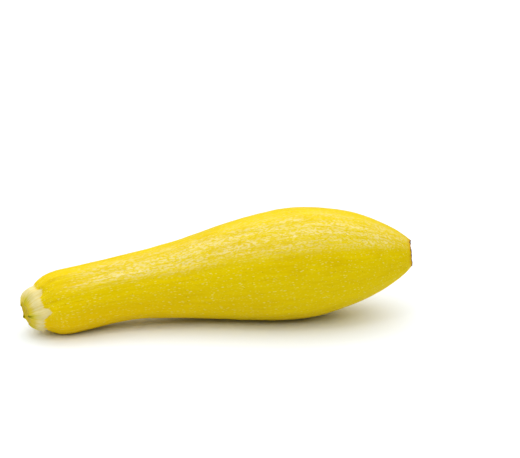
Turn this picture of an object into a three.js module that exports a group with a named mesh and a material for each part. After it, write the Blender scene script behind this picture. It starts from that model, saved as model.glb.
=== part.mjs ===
// A straightneck squash as picked, lying on its side: one solid fruit, with the
// trimmed stem end at -X and the blossom end at +X. Millimetres, +Z up. The
// origin is under the middle of the fruit, on the surface that it rests on.

import * as THREE from "three";
import { mergeVertices } from "three/addons/utils/BufferGeometryUtils.js";

// Driving dimensions.
const NECK_RADIUS = 15.3;
const BELLY_RADIUS = 27;
const COLLAR_RADIUS = 10.6; // the pale base that the stem leaves on the neck
const STEM_SCAR_RADIUS = 4.6; // where the stem was trimmed off
const BLOSSOM_SCAR_RADIUS = 6.3; // where the flower dried off
const SCAR_DISH = 0.7; // how far each scar's middle sinks

// The fruit's axis, from the stem scar to the blossom scar. It bows sideways a
// little, turns at the stem end, and climbs from the thin neck to the thick
// belly, because both rest on the same surface.
const AXIS = new THREE.CatmullRomCurve3([
  new THREE.Vector3(-91.7, -11.4, 12.3),
  new THREE.Vector3(-81.4, -7.0, 14.0),
  new THREE.Vector3(-70.4, -4.6, 15.3),
  new THREE.Vector3(-49.0, -1.3, 18.1),
  new THREE.Vector3(-27.5, 0.7, 19.9),
  new THREE.Vector3(28.4, 0.7, 26.0),
  new THREE.Vector3(56.4, -2.2, 29.1),
  new THREE.Vector3(93.4, -9.1, 33.1),
]);
const LENGTH = AXIS.getLength();

// The outline, as [share of the axis from the stem scar, radius there].
const OUTLINE = [
  [0, STEM_SCAR_RADIUS],
  [0.008, 7.9],
  [0.022, COLLAR_RADIUS],
  [0.042, COLLAR_RADIUS + 0.4], // the crease round the collar
  [0.065, 14.0],
  [0.1, NECK_RADIUS],
  [0.15, NECK_RADIUS],
  [0.22, NECK_RADIUS + 0.3],
  [0.3, 16.0],
  [0.4, 18.6],
  [0.5, 22.2],
  [0.6, 25.5],
  [0.7, BELLY_RADIUS],
  [0.78, 25.5],
  [0.86, 21.6],
  [0.92, 16.8],
  [0.96, 12.5],
  [0.987, 8.8],
  [1, BLOSSOM_SCAR_RADIUS],
];

// Five soft ridges run on from the stem's corners, with five between them.
const RIDGES = 5;
const RIDGE_HEIGHT = 0.35;
const RIDGE_FADE = 0.3; // share of the length over which they soften

// The underside is pressed flat by this much, where the fruit lay as it grew.
const GROUND_FLAT = 0.35;

const SPAN_STEPS = 3; // rings between two points of the outline
const SIDES = 48;
const SKIN = { color: 0xe9c90b, roughness: 0.42, metalness: 0 };
const UP = new THREE.Vector3(0, 0, 1);

// Lathe profile of the fruit as if its axis were straight: x is the radius and
// y the distance along the axis. It starts and ends in a dished scar.
function profile() {
  const points = OUTLINE.map(([share, radius]) => new THREE.Vector3(radius, share * LENGTH, 0));
  const outline = new THREE.CatmullRomCurve3(points, false, "centripetal");
  const skin = outline.getPoints((points.length - 1) * SPAN_STEPS);
  return [
    new THREE.Vector2(0, SCAR_DISH),
    ...skin.map((point) => new THREE.Vector2(point.x, point.y)),
    new THREE.Vector2(0, LENGTH - SCAR_DISH),
  ];
}

// Height of the ridges at a distance along the axis and an angle round it.
function ridge(along, angle) {
  const fade = Math.exp(-along / (RIDGE_FADE * LENGTH));
  const corners = Math.cos(RIDGES * angle);
  const between = Math.cos(2 * RIDGES * angle);
  return RIDGE_HEIGHT * (0.2 + 0.8 * fade) * (0.6 * corners + 0.4 * between);
}

// Carries a lathed vertex from the straight axis to the fruit's own axis.
function bend(vertex) {
  const along = THREE.MathUtils.clamp(vertex.y, 0, LENGTH);
  const radius = Math.hypot(vertex.x, vertex.z);
  const angle = Math.atan2(vertex.x, vertex.z);
  const tangent = AXIS.getTangentAt(along / LENGTH);
  const side = tangent.clone().cross(UP).normalize();
  const top = side.clone().cross(tangent);
  const reach = radius + ridge(along, angle) * Math.min(1, radius / STEM_SCAR_RADIUS);
  return AXIS.getPointAt(along / LENGTH)
    .addScaledVector(side, reach * Math.sin(angle))
    .addScaledVector(top, reach * Math.cos(angle));
}

// The fruit as one closed surface, standing on z = 0 and centred over x = y = 0.
function squashGeometry() {
  const lathe = new THREE.LatheGeometry(profile(), SIDES);
  lathe.deleteAttribute("normal");
  lathe.deleteAttribute("uv");
  const fruit = mergeVertices(lathe, 1e-4);
  const position = fruit.getAttribute("position");
  for (let i = 0; i < position.count; i++) {
    const bent = bend(new THREE.Vector3().fromBufferAttribute(position, i));
    position.setXYZ(i, bent.x, bent.y, bent.z);
  }
  fruit.computeBoundingBox();
  const middle = fruit.boundingBox.getCenter(new THREE.Vector3());
  fruit.translate(-middle.x, -middle.y, -fruit.boundingBox.min.z - GROUND_FLAT);
  for (let i = 0; i < position.count; i++) position.setZ(i, Math.max(0, position.getZ(i)));
  fruit.computeVertexNormals();
  return fruit;
}

const squash = new THREE.Mesh(squashGeometry(), new THREE.MeshStandardMaterial(SKIN));
squash.name = "squash";

const part = new THREE.Group();
part.add(squash);

export default part;
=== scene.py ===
"""A straightneck squash as picked, lying on its side on a plain pale floor.

The fruit is turned up straight, as on a lathe, from its outline. Its ridges,
lumps, collar and scars are then worked into the skin, and last it is bent
along the line that it grew on. Everything is in metres, in the frame's
own axes: +X runs from the trimmed stem end to the blossom end, and +Z is up.
Angles round the fruit are in degrees from its top, growing towards -Y.
"""

import logging
import math
from dataclasses import dataclass
from enum import Enum

import bpy
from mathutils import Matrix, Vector, noise


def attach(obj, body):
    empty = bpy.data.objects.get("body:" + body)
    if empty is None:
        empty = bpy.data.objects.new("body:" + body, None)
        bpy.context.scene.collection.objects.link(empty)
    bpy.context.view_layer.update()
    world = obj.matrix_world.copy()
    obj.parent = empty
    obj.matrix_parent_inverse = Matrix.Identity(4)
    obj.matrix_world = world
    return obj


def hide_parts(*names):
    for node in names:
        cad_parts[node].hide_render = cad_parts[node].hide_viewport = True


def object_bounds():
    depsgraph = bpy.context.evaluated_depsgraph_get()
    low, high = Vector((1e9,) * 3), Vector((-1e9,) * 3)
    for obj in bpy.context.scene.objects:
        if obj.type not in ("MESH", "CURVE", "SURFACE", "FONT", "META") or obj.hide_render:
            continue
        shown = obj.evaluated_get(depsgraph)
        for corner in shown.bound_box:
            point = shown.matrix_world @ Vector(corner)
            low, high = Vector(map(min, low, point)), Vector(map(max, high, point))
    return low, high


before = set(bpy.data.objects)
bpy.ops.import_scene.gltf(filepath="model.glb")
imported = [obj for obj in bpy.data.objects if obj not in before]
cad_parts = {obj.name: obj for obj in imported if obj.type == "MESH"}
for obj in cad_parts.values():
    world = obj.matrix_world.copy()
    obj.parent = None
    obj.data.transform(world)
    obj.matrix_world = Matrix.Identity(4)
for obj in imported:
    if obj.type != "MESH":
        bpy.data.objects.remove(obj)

log = logging.getLogger("squash")

MM = 0.001
CAD_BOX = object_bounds()
FRUIT_NODE = "squash"
BODY = "root"
Colour = tuple[float, float, float, float]
Socket = bpy.types.NodeSocket


class Slot(Enum):
    """A material slot of the record; nothing here gives it to the fruit."""

    SKIN = "skin"


class Trait(Enum):
    """What the fruit's mesh remembers about each of its points."""

    GRAIN = "grain"  # the point on a straight drum, so that streaks run lengthwise
    FLESH = "flesh"  # the point before the fruit was bent
    COLLAR = "collar"  # how far the point lies inside the collar's edge
    STEM_SCAR = "stem_scar"  # how far it lies inside the stem scar's edge
    RIB = "rib"  # 1 along the stem's ribs, 0 between them
    BLOSSOM_SCAR = "blossom_scar"  # how far it lies inside the blossom scar's edge


VECTOR_TRAITS = (Trait.GRAIN, Trait.FLESH)


def ease_in(value: float, low: float, high: float) -> float:
    """Eases from 0 at low to 1 at high.

    Args:
        value: the number to ease.
        low: where the result starts to rise.
        high: where the result reaches 1.

    Returns:
        A number from 0 to 1.
    """
    share = min(1.0, max(0.0, (value - low) / (high - low)))
    return share * share * (3.0 - 2.0 * share)


def bell(value: float, middle: float, width: float) -> float:
    """Gives 1 at middle, falling off smoothly over about width on each side.

    Args:
        value: where to measure.
        middle: where the bell stands.
        width: how far it spreads to each side.

    Returns:
        A number from 0 to 1.
    """
    return math.exp(-(((value - middle) / width) ** 2))


def turned(angle: float, other: float) -> float:
    """The turn from other to angle in degrees, between -180 and 180."""
    return (angle - other + 180.0) % 360.0 - 180.0


def smooth_through(points: list[Vector], steps: int) -> list[Vector]:
    """Draws a smooth line through points, as a centripetal Catmull-Rom curve.

    Args:
        points: what the line passes through.
        steps: how many pieces each stretch between two points is cut into.

    Returns:
        The line's points, the given ones among them.
    """
    ends = [2 * points[0] - points[1], *points, 2 * points[-1] - points[-2]]
    line = []
    for a, b, c, d in zip(ends, ends[1:], ends[2:], ends[3:]):
        ta = 0.0
        tb = ta + math.sqrt((b - a).length)
        tc = tb + math.sqrt((c - b).length)
        td = tc + math.sqrt((d - c).length)
        for step in range(steps):
            t = tb + (tc - tb) * step / steps
            ab = a.lerp(b, (t - ta) / (tb - ta))
            bc = b.lerp(c, (t - tb) / (tc - tb))
            cd = c.lerp(d, (t - tc) / (td - tc))
            abc = ab.lerp(bc, (t - ta) / (tc - ta))
            bcd = bc.lerp(cd, (t - tb) / (td - tb))
            line.append(abc.lerp(bcd, (t - tb) / (tc - tb)))
    line.append(points[-1].copy())
    return line


def deselect_all() -> None:
    """Leaves nothing selected, so that the next operator acts on new things only."""
    if bpy.context.object and bpy.context.object.mode != "OBJECT":
        bpy.ops.object.mode_set(mode="OBJECT")
    bpy.ops.object.select_all(action="DESELECT")


def make_active(thing: bpy.types.Object) -> None:
    """Selects one object alone and makes it the active one.

    Args:
        thing: the object to work on.
    """
    deselect_all()
    thing.select_set(True)
    bpy.context.view_layer.objects.active = thing


def apply_modifier(thing: bpy.types.Object, kind: str, **settings: object) -> None:
    """Adds a modifier to an object and applies it at once.

    Args:
        thing: the object to work on.
        kind: the modifier's type.
        **settings: the modifier's own values.
    """
    make_active(thing)
    modifier = thing.modifiers.new(kind.title(), kind)
    for name, value in settings.items():
        setattr(modifier, name, value)
    bpy.ops.object.modifier_apply(modifier=modifier.name)


def surface_noise(place: Vector, size: float, octaves: int = 1) -> float:
    """Smooth noise between about -1 and 1.

    Args:
        place: where to read it.
        size: how far apart its bumps are.
        octaves: how many layers it has, each finer than the last.

    Returns:
        The noise there.
    """
    if octaves == 1:
        return noise.noise(place / size)
    fineness, gap = 1.0, 2.0
    return noise.fractal(place / size, fineness, gap, octaves)


@dataclass(frozen=True)
class Ease:
    """A smooth change from start, at low, to end, at high."""

    low: float
    high: float
    start: float = 0.0
    end: float = 1.0


@dataclass(frozen=True)
class Cloud:
    """A cloudy pattern from 0 to 1, on one of the fruit's vector traits."""

    trait: Trait
    size: float  # how far apart its clouds are
    drawn: float = 1.0  # below 1, its clouds are longer along the fruit than across
    detail: float = 2.0
    rough: float = 0.5


class Scatter(Enum):
    """What is measured about points that are scattered over the flesh."""

    POINTS = "F1"  # the distance to the nearest one
    CRACKS = "DISTANCE_TO_EDGE"  # the distance to the line halfway between two


class Sheet:
    """A finish being drawn up, node by node."""

    def __init__(self, owner: bpy.types.Material | bpy.types.World) -> None:
        """Opens the node tree of a new material or world.

        Args:
            owner: what the finish belongs to.
        """
        self.owner = owner
        self.owner.use_nodes = True
        self.tree = owner.node_tree
        self.traits: dict[Trait, Socket] = {}

    def put(self, kind: str, inputs: dict[str | int, object], **settings: object) -> bpy.types.Node:
        """Adds a node, sets it up, and wires or fills its inputs.

        Args:
            kind: the node's type.
            inputs: a socket or a plain value for each input, by name or number.
            **settings: the node's own values.

        Returns:
            The new node.
        """
        node = self.tree.nodes.new(kind)
        for name, value in settings.items():
            setattr(node, name, value)
        for key, value in inputs.items():
            self.feed(node.inputs[key], value)
        return node

    def feed(self, socket: Socket, value: object) -> None:
        """Wires a socket to another one, or gives it a plain value.

        Args:
            socket: the input.
            value: an output socket, a number, a colour or a vector.
        """
        if isinstance(value, bpy.types.NodeSocket):
            self.tree.links.new(value, socket)
        else:
            socket.default_value = value

    def fill(self, node: str, inputs: dict[str, object]) -> None:
        """Wires or fills the inputs of a node that the tree began with.

        Args:
            node: the node's name.
            inputs: a socket or a plain value for each input, by name.
        """
        for name, value in inputs.items():
            self.feed(self.tree.nodes[node].inputs[name], value)

    def trait(self, trait: Trait) -> Socket:
        """Reads one of the mesh's traits, through one node however often it is asked for.

        Args:
            trait: which one.

        Returns:
            A vector or a number.
        """
        if trait not in self.traits:
            node = self.put("ShaderNodeAttribute", {}, attribute_name=trait.value)
            self.traits[trait] = node.outputs["Vector" if trait in VECTOR_TRAITS else "Fac"]
        return self.traits[trait]

    def axis(self, vector: Socket, name: str) -> Socket:
        """Reads a vector along one axis."""
        return self.put("ShaderNodeSeparateXYZ", {0: vector}).outputs[name]

    def drawn_out(self, trait: Trait, drawn: float) -> Socket:
        """Shortens a trait along the fruit, so that a pattern on it comes out longer."""
        inputs = {"Vector": self.trait(trait), "Scale": (drawn, 1, 1)}
        return self.put("ShaderNodeMapping", inputs).outputs["Vector"]

    def cloud(self, cloud: Cloud) -> Socket:
        """Draws a cloudy pattern.

        Args:
            cloud: which one.

        Returns:
            The pattern, from 0 to 1.
        """
        inputs = {
            "Vector": self.drawn_out(cloud.trait, cloud.drawn),
            "Scale": 1.0 / cloud.size,
            "Detail": cloud.detail,
            "Roughness": cloud.rough,
        }
        return self.put("ShaderNodeTexNoise", inputs).outputs["Fac"]

    def spots(
        self, spacing: float, drawn: float = 1.0, measured: Scatter = Scatter.POINTS
    ) -> bpy.types.Node:
        """Scatters points over the flesh.

        Args:
            spacing: how far apart they are.
            drawn: below 1, how far they are drawn out along the fruit.
            measured: what is measured about them.

        Returns:
            The node, with the distance and, for points, a random colour for each.
        """
        inputs = {"Vector": self.drawn_out(Trait.FLESH, drawn), "Scale": 1.0 / spacing}
        return self.put("ShaderNodeTexVoronoi", inputs, feature=measured.value)

    def eased(self, value: Socket, ease: Ease) -> Socket:
        """Eases a value.

        Args:
            value: what is read.
            ease: how the result follows it.

        Returns:
            The eased value.
        """
        inputs = {
            "Value": value,
            "From Min": ease.low,
            "From Max": ease.high,
            "To Min": ease.start,
            "To Max": ease.end,
        }
        node = self.put("ShaderNodeMapRange", inputs, interpolation_type="SMOOTHSTEP")
        return node.outputs["Result"]

    def reckon(self, operation: str, *values: object) -> Socket:
        """Does one operation on two or three sockets or plain numbers."""
        inputs = dict(enumerate(values))
        return self.put("ShaderNodeMath", inputs, operation=operation).outputs["Value"]

    def product(self, *values: object) -> Socket:
        """Multiplies sockets and plain numbers together.

        Args:
            *values: two or more of them.

        Returns:
            Their product.
        """
        result = values[0]
        for value in values[1:]:
            result = self.reckon("MULTIPLY", result, value)
        return result

    def mean(self, one: Socket, other: Socket) -> Socket:
        """Takes the mean of two numbers."""
        return self.product(self.reckon("ADD", one, other), 0.5)

    def larger(self, one: object, other: object) -> Socket:
        """Takes the larger of two numbers."""
        return self.reckon("MAXIMUM", one, other)

    def frayed(self, place: Socket, pattern: Socket, reach: float) -> Socket:
        """Moves a place to and fro, so that an edge drawn by it is frayed.

        Args:
            place: a distance.
            pattern: what moves it, from 0 to 1.
            reach: how far it is moved between the pattern's 0 and its 1.

        Returns:
            The moved distance.
        """
        centred = self.reckon("SUBTRACT", pattern, 0.5)
        return self.reckon("MULTIPLY_ADD", centred, reach, place)

    def mix(self, share: Socket, under: object, over: object) -> Socket:
        """Lays one colour over another.

        Args:
            share: how much of over shows, from 0 to 1.
            under: the colour below.
            over: the colour above.

        Returns:
            The mixed colour.
        """
        node = self.put("ShaderNodeMix", {}, data_type="RGBA")
        sockets = {socket.identifier: socket for socket in [*node.inputs, *node.outputs]}
        self.feed(sockets["Factor_Float"], share)
        self.feed(sockets["A_Color"], under)
        self.feed(sockets["B_Color"], over)
        return sockets["Result_Color"]

    def bump(self, height: Socket, depth: float, under: Socket | None = None) -> Socket:
        """Raises the surface by a height map.

        Args:
            height: the height map, from 0 to 1.
            depth: what a height of 1 stands for, in metres.
            under: an earlier bump to build on.

        Returns:
            The bumped normal.
        """
        inputs = {"Height": height, "Distance": depth, "Strength": 1.0}
        if under is not None:
            inputs["Normal"] = under
        return self.put("ShaderNodeBump", inputs).outputs["Normal"]


@dataclass(frozen=True)
class WaxAndSheenFinish:
    """The crumbly wax on the skin's top and front, where the softboxes' sheen shows; it also masks
    the painted sheen laid on the skin's colour.
    """

    patches: Cloud = Cloud(Trait.FLESH, 4.5 * MM, 0.3, 4.0, 0.7)
    rows: Cloud = Cloud(Trait.GRAIN, 2.2 * MM, 0.07, 2.0, 0.6)
    crumbs: Cloud = Cloud(Trait.FLESH, 0.75 * MM, 0.42, 1.0)
    in_patches: Ease = Ease(0.4, 0.58, 0.18, 1.0)
    in_crumbs: Ease = Ease(0.42, 0.6, 0.12, 1.0)
    # The wax, and the painted sheen with it, lie only on the top and on the side towards the
    # camera.
    on_top: Ease = Ease(8.0 * MM, 15.0 * MM)
    in_front: Ease = Ease(1.0 * MM, -9.0 * MM, 0.12, 1.0)
    past_shoulder: Ease = Ease(12.0 * MM, 44.0 * MM, 0.03, 1.0)
    off_scar: Ease = Ease(-0.2 * MM, -2.0 * MM)
    roughness: float = 0.22
    index: float = 1.7

    def spread(self, sheet: Sheet) -> Socket:
        """Spreads the wax, which also sets where the painted sheen is laid.

        Args:
            sheet: the material being drawn up.

        Returns:
            How much wax, and painted sheen, there is, from 0 to 1.
        """
        grain = sheet.trait(Trait.GRAIN)
        thick = sheet.mean(sheet.cloud(self.patches), sheet.cloud(self.rows))
        return sheet.product(
            sheet.eased(thick, self.in_patches),
            sheet.eased(sheet.cloud(self.crumbs), self.in_crumbs),
            sheet.eased(sheet.axis(grain, "Z"), self.on_top),
            sheet.eased(sheet.axis(grain, "Y"), self.in_front),
            sheet.eased(sheet.axis(grain, "X"), self.past_shoulder),
            sheet.eased(sheet.trait(Trait.BLOSSOM_SCAR), self.off_scar),
        )


@dataclass(frozen=True)
class FleckKind:
    """One kind of pale fleck."""

    spacing: float
    radius: float  # as a share of the spacing
    strength: float
    rarity: float


@dataclass(frozen=True)
class FleckFinish:
    """The pale flecks on the skin: many faint small ones and a few bold ones."""

    rows: Cloud = Cloud(Trait.GRAIN, 3.5 * MM, 0.08)
    crowds: Cloud = Cloud(Trait.FLESH, 9 * MM, 0.5)
    drawn: float = 0.3
    core: float = 0.35  # the share of its radius within which a fleck shows in full
    blur: float = 0.12  # how gradually flecks give way to bare skin
    kinds: tuple[FleckKind, ...] = (
        FleckKind(0.65 * MM, 0.4, 0.15, 0.76),
        FleckKind(0.9 * MM, 0.32, 0.38, 0.95),
        FleckKind(1.5 * MM, 0.22, 0.55, 1.05),
    )

    def scatter(self, sheet: Sheet) -> Socket:
        """Scatters the flecks.

        Args:
            sheet: the material being drawn up.

        Returns:
            How strongly a fleck shows, from 0 to 1.
        """
        crowd = sheet.mean(sheet.cloud(self.rows), sheet.cloud(self.crowds))
        total = 0.0
        for kind in self.kinds:
            spot = sheet.spots(kind.spacing, self.drawn)
            dot = sheet.eased(spot.outputs["Distance"], Ease(kind.radius, kind.radius * self.core))
            lot = sheet.put("ShaderNodeSeparateColor", {0: spot.outputs["Color"]}).outputs[0]
            kept = sheet.eased(
                sheet.reckon("ADD", lot, crowd), Ease(kind.rarity, kind.rarity + self.blur)
            )
            total = sheet.larger(total, sheet.product(dot, kept, kind.strength))
        return total


@dataclass(frozen=True)
class CollarFinish:
    """The cream collar with its green ribs, and the olive stem scar."""

    cream: Colour = (0.78, 0.68, 0.33, 1)
    straw: Colour = (0.74, 0.60, 0.21, 1)
    pale_green: Colour = (0.56, 0.49, 0.006, 1)
    dark_green: Colour = (0.13, 0.14, 0.001, 1)
    olive: Colour = (0.66, 0.50, 0.006, 1)
    olive_brown: Colour = (0.50, 0.35, 0.006, 1)
    threads: Cloud = Cloud(Trait.GRAIN, 0.9 * MM, 0.12, 2.0, 0.6)
    fibres: Cloud = Cloud(Trait.FLESH, 0.9 * MM, 1.0, 3.0, 0.6)
    edge_fray: float = 3.4 * MM
    foot_fray: float = 3.6 * MM
    scar_fray: float = 1.6 * MM
    cream_threads: Ease = Ease(0.3, 0.62)
    edge: Ease = Ease(-0.5 * MM, 0.5 * MM, 0.0, 0.95)
    olive_foot: Ease = Ease(2.5 * MM, 0.7 * MM, 0.0, 0.9)
    green_ribs: Ease = Ease(5.0 * MM, 0.8 * MM, 0.0, 0.8)
    olive_fibres: Ease = Ease(0.4, 0.62)
    scar_face: Ease = Ease(-0.4 * MM, 0.3 * MM)
    line_strength: float = 0.3
    line_outside: Ease = Ease(-0.7 * MM, -0.1 * MM)
    line_inside: Ease = Ease(0.6 * MM, 0.1 * MM)
    tip_strength: float = 0.9
    tip_rib: Ease = Ease(0.66, 0.98)
    tip_foot: Ease = Ease(1.5 * MM, 0.2 * MM)
    tip_rim: Ease = Ease(0.9 * MM, 0.3 * MM)

    def lay(self, sheet: Sheet, skin: Socket) -> Socket:
        """Lays the collar over the yellow skin.

        Args:
            sheet: the material being drawn up.
            skin: the skin's colour.

        Returns:
            The colour with the collar and the stem scar on it.
        """
        threads = sheet.cloud(self.threads)
        inside = sheet.frayed(sheet.trait(Trait.COLLAR), threads, self.edge_fray)
        cream = sheet.mix(sheet.eased(threads, self.cream_threads), self.straw, self.cream)
        colour = sheet.mix(sheet.eased(inside, self.edge), skin, cream)
        along = sheet.axis(sheet.trait(Trait.FLESH), "X")
        foot = sheet.frayed(along, threads, self.foot_fray)
        colour = sheet.mix(sheet.eased(foot, self.olive_foot), colour, self.olive)
        green = sheet.product(sheet.trait(Trait.RIB), sheet.eased(foot, self.green_ribs))
        colour = sheet.mix(green, colour, self.pale_green)
        return self.lay_scar(sheet, colour, foot)

    def lay_scar(self, sheet: Sheet, collar: Socket, foot: Socket) -> Socket:
        """Lays the stem scar over the collar, with the ribs' dark green tips.

        Args:
            sheet: the material being drawn up.
            collar: the collar's colour.
            foot: the frayed distance from the stem scar.

        Returns:
            The colour with the scar on it.
        """
        fibres = sheet.cloud(self.fibres)
        face = sheet.mix(sheet.eased(fibres, self.olive_fibres), self.olive_brown, self.olive)
        inside = sheet.frayed(sheet.trait(Trait.STEM_SCAR), fibres, self.scar_fray)
        colour = sheet.mix(sheet.eased(inside, self.scar_face), collar, face)
        line = sheet.product(
            sheet.eased(inside, self.line_outside),
            sheet.eased(inside, self.line_inside),
            self.line_strength,
        )
        colour = sheet.mix(line, colour, self.olive_brown)
        tip = sheet.product(
            sheet.eased(sheet.trait(Trait.RIB), self.tip_rib),
            sheet.eased(foot, self.tip_foot),
            sheet.eased(inside, self.tip_rim),
            self.tip_strength,
        )
        return sheet.mix(tip, colour, self.dark_green)


@dataclass(frozen=True)
class BlossomScarFinish:
    """Brown cork, cracked into paler plates, and the orange skin round it."""

    orange: Colour = (0.62, 0.30, 0.008, 1)
    cork: Colour = (0.07, 0.024, 0.012, 1)
    cork_pale: Colour = (0.32, 0.18, 0.13, 1)
    roughness: float = 0.85
    crumbs: Cloud = Cloud(Trait.FLESH, 1.5 * MM, 1.0, 3.0, 0.65)
    plate_size: float = 2.2 * MM
    fray: float = 2.2 * MM
    in_plates: Ease = Ease(0.02, 0.16, 0.2, 1.0)
    in_crumbs: Ease = Ease(0.38, 0.6, 0.15, 1.0)
    off_rim: Ease = Ease(0.4 * MM, 1.5 * MM, 0.1, 1.0)
    orange_edge: Ease = Ease(-1.4 * MM, -0.3 * MM, 0.0, 0.85)
    cork_edge: Ease = Ease(-0.35 * MM, 0.0)
    rough_edge: Ease = Ease(-0.4 * MM, 0.1 * MM)

    def lay(self, sheet: Sheet, skin: Socket) -> Socket:
        """Lays the scar over the skin.

        Args:
            sheet: the material being drawn up.
            skin: the skin's colour.

        Returns:
            The colour with the scar on it.
        """
        crumbs = sheet.cloud(self.crumbs)
        inside = sheet.frayed(sheet.trait(Trait.BLOSSOM_SCAR), crumbs, self.fray)
        plates = sheet.spots(self.plate_size, measured=Scatter.CRACKS).outputs["Distance"]
        pale = sheet.product(
            sheet.eased(plates, self.in_plates),
            sheet.eased(crumbs, self.in_crumbs),
            sheet.eased(inside, self.off_rim),
        )
        cork = sheet.mix(pale, self.cork, self.cork_pale)
        edge = sheet.mix(sheet.eased(inside, self.orange_edge), skin, self.orange)
        return sheet.mix(sheet.eased(inside, self.cork_edge), edge, cork)

    def rough(self, sheet: Sheet) -> Socket:
        """How rough the cork is: 0 off the scar."""
        corky = sheet.eased(sheet.trait(Trait.BLOSSOM_SCAR), self.rough_edge)
        return sheet.product(corky, self.roughness)


@dataclass(frozen=True)
class SkinFinish:
    """The waxy yellow skin, with a painted sheen on its top and front, its pale collar and its
    scars.
    """

    deep: Colour = (0.655, 0.45, 0.0005, 1)
    yellow: Colour = (0.745, 0.56, 0.0005, 1)
    bright: Colour = (0.80, 0.645, 0.004, 1)
    warm: Colour = (0.82, 0.54, 0.0005, 1)
    fleck: Colour = (0.80, 0.71, 0.22, 1)
    # A pale painted sheen, standing in for the softboxes' reflection on the top and front.
    painted_sheen: Colour = (0.82, 0.75, 0.36, 1)
    pore: Colour = (0.40, 0.25, 0.004, 1)
    streaks: Cloud = Cloud(Trait.GRAIN, 1.1 * MM, 0.05, 3.0, 0.6)
    tints: Cloud = Cloud(Trait.FLESH, 14 * MM, 0.4, 3.0, 0.55)
    grit: Cloud = Cloud(Trait.FLESH, 0.6 * MM, 1.0, 2.0, 0.6)
    dimples: Cloud = Cloud(Trait.FLESH, 0.9 * MM, 0.5, 3.0, 0.6)
    yellow_tint: Ease = Ease(0.35, 0.6, 0.55, 1.0)
    light_lines: Ease = Ease(0.5, 0.7, 0.0, 0.8)
    dark_lines: Ease = Ease(0.46, 0.32, 0.0, 0.95)
    lined: Ease = Ease(60 * MM, 10 * MM, 0.4, 1.0)
    warm_below: Ease = Ease(10 * MM, -10 * MM, 0.15, 0.8)
    warm_neck: Ease = Ease(130 * MM, 20 * MM, 0.15, 1.0)
    painted_sheen_strength: float = 0.4
    pore_spacing: float = 3.4 * MM
    pore_size: Ease = Ease(0.085, 0.05)
    pore_strength: float = 0.55
    roughness: Ease = Ease(0.3, 0.7, 0.36, 0.5)
    gloss: float = 0.02
    dimple_depth: float = 0.07 * MM
    fleck_depth: float = 0.03 * MM
    streak_depth: float = 0.08 * MM
    wax_and_sheen: WaxAndSheenFinish = WaxAndSheenFinish()
    flecks: FleckFinish = FleckFinish()
    collar: CollarFinish = CollarFinish()
    blossom_scar: BlossomScarFinish = BlossomScarFinish()

    def make(self) -> bpy.types.Material:
        """Draws up the material.

        Returns:
            The material.
        """
        sheet = Sheet(bpy.data.materials.new("squash_skin"))
        streaks = sheet.cloud(self.streaks)
        wax_and_sheen = self.wax_and_sheen.spread(sheet)
        flecks = self.flecks.scatter(sheet)
        colour = self.ground(sheet, streaks)
        # Painted sheen: a pale colour laid where the wax lies, standing in for the softboxes'
        # reflection.
        colour = sheet.mix(sheet.product(wax_and_sheen, self.painted_sheen_strength), colour, self.painted_sheen)
        colour = sheet.mix(flecks, colour, self.fleck)
        pores = sheet.eased(sheet.spots(self.pore_spacing).outputs["Distance"], self.pore_size)
        colour = sheet.mix(sheet.product(pores, self.pore_strength), colour, self.pore)
        colour = self.collar.lay(sheet, colour)
        colour = self.blossom_scar.lay(sheet, colour)
        gritty = sheet.eased(sheet.cloud(self.grit), self.roughness)
        normal = sheet.bump(sheet.cloud(self.dimples), self.dimple_depth)
        normal = sheet.bump(flecks, self.fleck_depth, normal)
        normal = sheet.bump(streaks, self.streak_depth, normal)
        surface = {
            "Base Color": colour,
            "Roughness": sheet.larger(gritty, self.blossom_scar.rough(sheet)),
            "Specular IOR Level": self.gloss,
            "Coat Weight": wax_and_sheen,
            "Coat Roughness": self.wax_and_sheen.roughness,
            "Coat IOR": self.wax_and_sheen.index,
            "Normal": normal,
            "Coat Normal": normal,
        }
        sheet.fill("Principled BSDF", surface)
        return sheet.owner

    def ground(self, sheet: Sheet, streaks: Socket) -> Socket:
        """Lays the yellow ground, with its tints and its lengthwise streaks.

        Args:
            sheet: the material being drawn up.
            streaks: the streaks, from 0 to 1.

        Returns:
            The ground's colour.
        """
        along = sheet.axis(sheet.trait(Trait.FLESH), "X")
        height = sheet.axis(sheet.trait(Trait.GRAIN), "Z")
        yellow = sheet.eased(sheet.cloud(self.tints), self.yellow_tint)
        colour = sheet.mix(yellow, self.deep, self.yellow)
        lined = sheet.eased(along, self.lined)
        light = sheet.product(sheet.eased(streaks, self.light_lines), lined)
        colour = sheet.mix(light, colour, self.bright)
        dark = sheet.product(sheet.eased(streaks, self.dark_lines), lined)
        colour = sheet.mix(dark, colour, self.deep)
        below = sheet.eased(height, self.warm_below)
        warmth = sheet.product(below, sheet.eased(along, self.warm_neck))
        return sheet.mix(warmth, colour, self.warm)


@dataclass(frozen=True)
class Spine:
    """The line that the fruit grew along, from the stem scar to the blossom scar."""

    # Points on the line, in millimetres.
    knots: tuple[tuple[float, float, float], ...] = (
        (-91.71, -11.36, 12.38),
        (-81.68, -7.08, 14.04),
        (-70.68, -4.68, 15.34),
        (-49.28, -1.38, 18.14),
        (-27.78, 0.62, 19.94),
        (28.12, 0.62, 26.04),
        (56.12, -2.28, 29.14),
        (92.75, -9.11, 33.10),
    )
    smoothness: int = 64

    def draw(self) -> bpy.types.Object:
        """Draws the line as a curve with automatic handles.

        Returns:
            The curve, which the Curve modifier bends the fruit along.
        """
        deselect_all()
        bpy.ops.curve.primitive_bezier_curve_add(location=(0, 0, 0))
        curve = bpy.context.object
        curve.name = "spine"
        curve.data.resolution_u = self.smoothness
        curve.data.twist_mode = "Z_UP"
        points = curve.data.splines[0].bezier_points
        points.add(len(self.knots) - len(points))
        for point, knot in zip(points, self.knots):
            point.co = Vector(knot) * MM
            point.handle_left_type = "AUTO"
            point.handle_right_type = "AUTO"
        return curve


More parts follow.
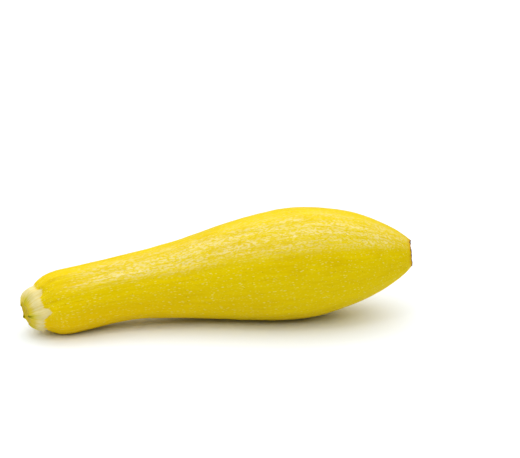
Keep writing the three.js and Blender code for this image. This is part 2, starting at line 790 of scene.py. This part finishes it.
@dataclass(frozen=True)
class Outline:
    """Half the fruit's outline, drawn straight."""

    scar_dish: float = 0.7 * MM
    # The rings of a scar, as shares of its radius.
    scar_rings: tuple[float, ...] = (0.0, 0.2, 0.45, 0.68, 0.86, 0.95)
    # Shares of the fruit's length from the stem scar, and radii there in millimetres.
    knots: tuple[tuple[float, float], ...] = (
        (0, 5.3),
        (0.008, 8.1),
        (0.022, 10.6),
        (0.042, 11.0),
        (0.065, 14.0),
        (0.1, 15.3),
        (0.15, 15.3),
        (0.22, 15.6),
        (0.3, 16.0),
        (0.4, 18.6),
        (0.5, 22.2),
        (0.6, 25.5),
        (0.7, 27.0),
        (0.78, 25.5),
        (0.86, 21.6),
        (0.92, 16.8),
        (0.96, 12.5),
        (0.987, 8.8),
        (1, 6.3),
    )
    steps: int = 2  # how many pieces each stretch between two knots is cut into

    def skin(self, length: float) -> list[Vector]:
        """The outline of the skin between the two scars.

        Args:
            length: the fruit's length along its spine.

        Returns:
            Points with x along the fruit and z as the radius.
        """
        knots = [Vector((share * length, 0, radius * MM)) for share, radius in self.knots]
        return smooth_through(knots, self.steps)

    def scar(self, edge: Vector, sink: float) -> list[Vector]:
        """The outline of a dished scar, from its middle to its edge.

        Args:
            edge: the skin's first or last point, on the scar's edge.
            sink: how far the scar's middle lies along x from its edge.

        Returns:
            Points from the axis to just inside the edge.
        """
        return [
            Vector((edge.x + sink * (1.0 - ring**2), 0, edge.z * ring)) for ring in self.scar_rings
        ]

    def whole(self, length: float) -> list[Vector]:
        """The outline from the middle of one scar to the middle of the other.

        Args:
            length: the fruit's length along its spine.

        Returns:
            Points with x along the fruit and z as the radius.
        """
        skin = self.skin(length)
        stem = self.scar(skin[0], self.scar_dish)
        blossom = self.scar(skin[-1], -self.scar_dish)
        return [*stem, *skin, *reversed(blossom)]


@dataclass(frozen=True)
class Dent:
    """A shallow hollow or a low swelling in the skin."""

    along: float
    angle: float
    length: float
    width: float
    depth: float
    slant: float = 0.0  # degrees that its long way is turned from the fruit's own

    def at(self, along: float, angle: float, radius: float) -> float:
        """How far the skin sinks here because of this dent.

        Args:
            along: distance from the stem scar.
            angle: degrees round the fruit.
            radius: the fruit's radius there.

        Returns:
            The depth in metres, below 0 for a swelling.
        """
        ahead = along - self.along
        across = math.radians(turned(angle, self.angle)) * radius
        turn = math.radians(self.slant)
        long_way = ahead * math.cos(turn) + across * math.sin(turn)
        short_way = across * math.cos(turn) - ahead * math.sin(turn)
        return self.depth * bell(long_way, 0.0, self.length) * bell(short_way, 0.0, self.width)


@dataclass(frozen=True)
class Swell:
    """Low bumps all over the skin."""

    height: float
    size: float
    drawn: float = 1.0  # below 1, the bumps are longer along the fruit than across
    octaves: int = 1

    def at(self, place: Vector) -> float:
        """How high the bumps stand at a place."""
        stretched = Vector((place.x * self.drawn, place.y, place.z))
        return self.height * surface_noise(stretched, self.size, self.octaves)


@dataclass(frozen=True)
class Collar:
    """The pale foot of the stem, with its ribs, and the yellow edge that laps over it."""

    # How far it runs from the stem scar, in millimetres, at angles round the fruit.
    reach: tuple[tuple[float, float], ...] = (
        (12, 6.7),
        (24, 8.4),
        (46, 6.0),
        (64, 6.3),
        (82, 9.3),
        (100, 4.4),
        (126, 4.5),
        (152, 6.8),
        (188, 4.9),
        (228, 8.0),
        (262, 5.2),
        (300, 8.3),
        (342, 7.4),
    )
    # Where each rib of the stem runs, in degrees, and how strong it is.
    ribs: tuple[tuple[float, float], ...] = (
        (14, 0.75),
        (84, 1.0),
        (157, 0.75),
        (229, 0.95),
        (301, 0.85),
    )
    rib_width: float = 13.0  # in degrees
    rib_height: float = 0.5 * MM
    rib_length: float = 7.0 * MM
    groove: float = 0.22 * MM
    groove_width: float = 0.8 * MM
    cuff: float = 0.3 * MM
    cuff_place: float = 2.0 * MM
    cuff_width: float = 1.6 * MM
    raggedness: float = 0.5 * MM
    rag_size: float = 0.2  # on a circle of radius 1
    tip_height: float = 0.55 * MM
    tip_place: float = 0.5 * MM
    tip_length: float = 0.8 * MM
    tip_sharpness: int = 3

    def rib(self, angle: float) -> float:
        """How near an angle is to one of the ribs, from 0 to 1."""
        return max(
            strength * bell(turned(angle, middle), 0.0, self.rib_width)
            for middle, strength in self.ribs
        )

    def edge(self, angle: float) -> float:
        """How far the collar runs from the stem scar at an angle.

        Args:
            angle: degrees round the fruit.

        Returns:
            The distance in metres.
        """
        turn = math.radians(angle)
        ragged = surface_noise(Vector((math.sin(turn), math.cos(turn), 4.1)), self.rag_size, 2)
        knots = [*self.reach, (self.reach[0][0] + 360, self.reach[0][1])]
        start = self.reach[0][0]
        round_from_start = (angle - start) % 360 + start
        for (here, near), (there, far) in zip(knots, knots[1:]):
            if round_from_start <= there:
                share = ease_in(round_from_start, here, there)
                return (near + (far - near) * share) * MM + self.raggedness * ragged
        return knots[-1][1] * MM

    def height(self, along: float, angle: float) -> float:
        """How far the ribs, the groove and the yellow cuff raise the skin.

        Args:
            along: distance from the stem scar.
            angle: degrees round the fruit.

        Returns:
            The height in metres.
        """
        inside = self.edge(angle) - along
        ribs = self.rib_height * self.rib(angle) * (1.0 - ease_in(along, 0.0, self.rib_length))
        groove = self.groove * bell(inside, 0.0, self.groove_width)
        cuff = self.cuff * bell(inside, -self.cuff_place, self.cuff_width)
        tips = self.tip_height * self.rib(angle) ** self.tip_sharpness
        tips *= bell(along, self.tip_place, self.tip_length)
        return ribs - groove + cuff + tips


@dataclass(frozen=True)
class BlossomScar:
    """The corky scar where the flower stood: a ragged rim round a crumbly face."""

    rim_height: float = 0.35 * MM
    rim_inset: float = 0.45 * MM
    rim_width: float = 0.55 * MM
    rim_middle: float = 0.6  # the share of its height that its ragged top wavers about
    crumb_height: float = 0.3 * MM
    crumb_size: float = 1.5 * MM
    nub_height: float = 0.5 * MM
    nub_width: float = 1.3 * MM
    rag_size: float = 1.9 * MM
    reach: float = 1.5 * MM

    def height(self, place: Vector, inside: float) -> float:
        """How far the cork stands proud of the plain scar.

        Args:
            place: the point on the straight fruit.
            inside: how far it lies inside the scar's edge.

        Returns:
            The height in metres.
        """
        ragged = self.rim_middle + surface_noise(place, self.rag_size, 3)
        rim = self.rim_height * bell(inside, self.rim_inset, self.rim_width) * ragged
        face = ease_in(inside, 0.0, self.reach)
        crumbs = self.crumb_height * surface_noise(place + Vector((1, 0, 0)), self.crumb_size, 3)
        nub = self.nub_height * bell(math.hypot(place.y, place.z), 0.0, self.nub_width)
        return rim + face * (crumbs + nub)


@dataclass(frozen=True)
class Fruit:
    """The whole squash: turned straight, its skin worked, and bent along its spine."""

    spine: Spine = Spine()
    outline: Outline = Outline()
    collar: Collar = Collar()
    blossom_scar: BlossomScar = BlossomScar()
    finish: SkinFinish = SkinFinish()
    sides: int = 32
    fineness: int = 3
    merge_distance: float = 0.01 * MM
    drum: float = 20.0 * MM
    ridges: int = 5
    ridge_height: float = 0.42 * MM
    ridge_rest: float = 0.15  # the share of the ridges that never fades
    ridge_fade: float = 0.33  # the share of the length over which the rest does
    corner_share: float = 0.6  # how strong the ridges are against those between them
    furrows: Swell = Swell(0.16 * MM, 3.2 * MM, 0.07, 2)
    lumps: Swell = Swell(0.5 * MM, 30 * MM)
    ripples: Swell = Swell(0.14 * MM, 6.5 * MM, 0.55, 2)
    scar_zone: float = 1.2 * MM  # how far from an end its scar's face may lie
    plain_ends: float = 2.5 * MM  # how far from an end the skin's own bumps fade in
    collar_lap: float = 0.2 * MM  # how far the collar's bumps run on to the stem scar
    dents: tuple[Dent, ...] = (
        Dent(77 * MM, 44, 4.5 * MM, 3.5 * MM, 0.35 * MM),
        Dent(76 * MM, 45, 3.2 * MM, 0.7 * MM, 0.3 * MM, 35),
        Dent(79 * MM, 45, 3.2 * MM, 0.7 * MM, 0.25 * MM, -40),
        Dent(60 * MM, 30, 10 * MM, 7 * MM, 0.3 * MM),
        Dent(45 * MM, 12, 9 * MM, 7 * MM, -0.25 * MM),
        Dent(104 * MM, 60, 14 * MM, 8 * MM, -0.2 * MM),
        Dent(128 * MM, 35, 10 * MM, 7 * MM, 0.25 * MM),
        Dent(4 * MM, 172, 4.5 * MM, 8 * MM, 0.7 * MM),
        Dent(35 * MM, 100, 12 * MM, 6 * MM, 0.3 * MM),
        Dent(92 * MM, 110, 12 * MM, 9 * MM, 0.3 * MM),
    )

    def make(self) -> bpy.types.Object:
        """Models the fruit from start to finish, and dresses it.

        Returns:
            The finished fruit, in its final place.
        """
        spine = self.spine.draw()
        length = spine.data.splines[0].calc_length()
        fruit = self.turn(length)
        self.work_skin(fruit, length)
        self.bend(fruit, spine)
        self.dress(fruit)
        return fruit

    def turn(self, length: float) -> bpy.types.Object:
        """Turns the straight fruit from its outline, as on a lathe.

        Args:
            length: the fruit's length along its spine.

        Returns:
            The straight fruit, along +X from the origin.
        """
        # Subdividing shrinks a ring of straight sides to this share of its size.
        shrink = (2.0 + math.cos(math.tau / self.sides)) / 3.0
        line = [Vector((p.x, 0, p.z / shrink)) for p in self.outline.whole(length)]
        deselect_all()
        bpy.ops.mesh.primitive_plane_add(size=MM, location=(0, 0, 0))
        fruit = bpy.context.object
        fruit.name = fruit.data.name = "squash_fruit"
        bpy.ops.object.mode_set(mode="EDIT")
        bpy.ops.mesh.select_all(action="SELECT")
        bpy.ops.mesh.merge(type="CENTER")
        bpy.ops.transform.translate(value=line[0])
        for here, there in zip(line, line[1:]):
            bpy.ops.mesh.extrude_region_move(TRANSFORM_OT_translate={"value": there - here})
        bpy.ops.mesh.select_all(action="SELECT")
        bpy.ops.mesh.spin(steps=self.sides, angle=math.tau, center=(0, 0, 0), axis=(1, 0, 0))
        bpy.ops.mesh.select_all(action="SELECT")
        bpy.ops.mesh.remove_doubles(threshold=self.merge_distance)
        bpy.ops.mesh.normals_make_consistent(inside=False)
        bpy.ops.object.mode_set(mode="OBJECT")
        levels = {"levels": self.fineness, "render_levels": self.fineness}
        apply_modifier(fruit, "SUBSURF", **levels)
        return fruit

    def on_drum(self, along: float, angle: float) -> Vector:
        """Carries a place on the fruit to a straight drum."""
        turn = math.radians(angle)
        return Vector((along, -self.drum * math.sin(turn), self.drum * math.cos(turn)))

    def skin_height(self, place: Vector, along: float, angle: float, length: float) -> float:
        """How far the skin stands proud of the plain outline.

        Args:
            place: the point on the straight fruit.
            along: distance from the stem scar.
            angle: degrees round the fruit.
            length: the fruit's whole length.

        Returns:
            The height in metres.
        """
        radius = max(math.hypot(place.y, place.z), MM)
        lead = math.radians(angle - self.collar.ribs[0][0])
        fade = math.exp(-along / (self.ridge_fade * length))
        corners = self.corner_share * math.cos(self.ridges * lead)
        between = (1.0 - self.corner_share) * math.cos(2 * self.ridges * lead)
        height = self.ridge_height * (corners + between)
        height *= self.ridge_rest + (1.0 - self.ridge_rest) * fade
        height += self.furrows.at(self.on_drum(along, angle))
        height += self.lumps.at(place) + self.ripples.at(place)
        return height - sum(dent.at(along, angle, radius) for dent in self.dents)

    def work_skin(self, fruit: bpy.types.Object, length: float) -> None:
        """Works the ridges, lumps, collar and scars into the straight fruit.

        Args:
            fruit: the straight fruit.
            length: its length.
        """
        mesh = fruit.data
        for trait in Trait:
            kind = "FLOAT_VECTOR" if trait in VECTOR_TRAITS else "FLOAT"
            mesh.attributes.new(trait.value, kind, "POINT")
        traits = {trait: mesh.attributes[trait.value].data for trait in Trait}
        stem_edge = self.outline.knots[0][1] * MM
        blossom_edge = self.outline.knots[-1][1] * MM
        normals = [vertex.normal.copy() for vertex in mesh.vertices]
        for index, vertex in enumerate(mesh.vertices):
            place = vertex.co.copy()
            radius = math.hypot(place.y, place.z)
            angle = math.degrees(math.atan2(-place.y, place.z)) % 360.0
            along = min(max(place.x, 0.0), length)
            on_stem = stem_edge - radius if place.x < self.scar_zone else -place.x
            past_end = place.x - length
            on_blossom = blossom_edge - radius if past_end > -self.scar_zone else past_end
            plain = ease_in(along, 0.0, self.plain_ends)
            plain *= ease_in(length - along, 0.0, self.plain_ends)
            height = plain * self.skin_height(place, along, angle, length)
            if on_stem < self.collar_lap:
                height += self.collar.height(along, angle)
            if on_blossom > -self.blossom_scar.reach:
                height += self.blossom_scar.height(place, on_blossom)
            vertex.co = place + normals[index] * height
            traits[Trait.GRAIN][index].vector = self.on_drum(along, angle)
            traits[Trait.FLESH][index].vector = place
            traits[Trait.COLLAR][index].value = self.collar.edge(angle) - along
            traits[Trait.STEM_SCAR][index].value = on_stem
            traits[Trait.RIB][index].value = self.collar.rib(angle)
            traits[Trait.BLOSSOM_SCAR][index].value = on_blossom

    def bend(self, fruit: bpy.types.Object, spine: bpy.types.Object) -> None:
        """Bends the straight fruit along its spine, and trims it to the CAD part's box.

        Args:
            fruit: the straight fruit, which is changed.
            spine: the curve to bend it along, which is used up.
        """
        apply_modifier(fruit, "CURVE", object=spine, deform_axis="POS_X")
        bpy.data.objects.remove(spine)
        low, high = (Vector(corner) for corner in CAD_BOX)
        for vertex in fruit.data.vertices:
            vertex.co = Vector(min(max(v, a), b) for v, a, b in zip(vertex.co, low, high))
        make_active(fruit)
        bpy.ops.object.shade_smooth()

    def dress(self, fruit: bpy.types.Object) -> None:
        """Gives the fruit its finish, its body and its place in the record.

        Args:
            fruit: the bent fruit.
        """
        fruit.data.materials.append(self.finish.make())
        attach(fruit, BODY)
        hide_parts(FRUIT_NODE)


@dataclass(frozen=True)
class Softbox:
    """A large flat lamp, hung level and facing down."""

    name: str
    middle: tuple[float, float, float]
    size: tuple[float, float]
    brightness: float  # as seen from below, where 1 is a white wall in full light

    def hang(self) -> None:
        """Hangs the lamp in its place."""
        deselect_all()
        bpy.ops.object.light_add(type="AREA", location=self.middle)
        lamp = bpy.context.object
        lamp.name = self.name
        lamp.data.shape = "RECTANGLE"
        lamp.data.size, lamp.data.size_y = self.size
        lamp.data.energy = self.brightness * math.pi * self.size[0] * self.size[1]


@dataclass(frozen=True)
class Studio:
    """The plain pale floor, the soft light and the camera."""

    azimuth: float = -7.1
    elevation: float = 20.0
    distance: float = 0.6
    aim: tuple[float, float, float] = (0.02165, 0.0097, 0.04166)
    lens: float = 85.154
    floor_radius: float = 0.6
    floor_sides: int = 96
    floor_colour: Colour = (0.905, 0.94, 0.985, 1)
    floor_roughness: float = 0.9
    floor_gloss: float = 0.1
    room: Ease = Ease(-0.3, 0.5, 0.14, 0.3)  # its brightness, from in front to behind
    backdrop: float = 1.2  # how much brighter the room is to look at
    softboxes: tuple[Softbox, ...] = (
        Softbox("softbox_overhead", (-0.1, -0.28, 0.8), (2.4, 1.4), 1.54),
        Softbox("softbox_behind", (0, 1.3, 0.85), (3.6, 1.9), 0.98),
        Softbox("lamp", (-0.066, -0.26, 0.78), (0.05, 0.08), 30.0),
    )

    def floor(self) -> None:
        """Lays a round white floor at the fruit's lowest point."""
        deselect_all()
        bpy.ops.mesh.primitive_circle_add(
            vertices=self.floor_sides,
            radius=self.floor_radius,
            fill_type="NGON",
            location=(0, 0, CAD_BOX[0][2]),
        )
        floor = bpy.context.object
        floor.name = "floor"
        bpy.ops.object.transform_apply(location=True)
        sheet = Sheet(bpy.data.materials.new("floor_white"))
        surface = {
            "Base Color": self.floor_colour,
            "Roughness": self.floor_roughness,
            "Specular IOR Level": self.floor_gloss,
        }
        sheet.fill("Principled BSDF", surface)
        floor.data.materials.append(sheet.owner)

    def light(self) -> None:
        """Hangs the softboxes in a room that is lighter behind the fruit than in front."""
        sheet = Sheet(bpy.data.worlds.new("room"))
        bpy.context.scene.world = sheet.owner
        outlook = sheet.put("ShaderNodeTexCoord", {}).outputs["Generated"]
        shade = sheet.eased(sheet.axis(outlook, "Y"), self.room)
        looked_at = sheet.put("ShaderNodeLightPath", {}).outputs["Is Camera Ray"]
        strength = sheet.reckon("MULTIPLY_ADD", looked_at, self.backdrop, shade)
        sheet.fill("Background", {"Color": (1, 1, 1, 1), "Strength": strength})
        for softbox in self.softboxes:
            softbox.hang()

    def camera(self) -> None:
        """Sets the camera up and aims it."""
        turn = math.radians(self.azimuth)
        tilt = math.radians(self.elevation)
        aim = Vector(self.aim)
        back = Vector(
            (
                math.sin(turn) * math.cos(tilt),
                -math.cos(turn) * math.cos(tilt),
                math.sin(tilt),
            )
        )
        deselect_all()
        bpy.ops.object.camera_add(location=aim + back * self.distance)
        camera = bpy.context.object
        camera.rotation_euler = (-back).to_track_quat("-Z", "Y").to_euler()
        camera.data.lens = self.lens
        camera.data.clip_start = 0.01
        bpy.context.scene.camera = camera
        bpy.context.scene.view_settings.view_transform = "Standard"


def main() -> None:
    """Makes the fruit and sets it in its studio."""
    logging.basicConfig(level=logging.INFO, format="%(name)s: %(message)s")
    studio = Studio()
    studio.camera()
    studio.floor()
    studio.light()
    fruit = Fruit().make()
    log.info("%s: %d faces", fruit.name, len(fruit.data.polygons))


if __name__ == "__main__":
    main()
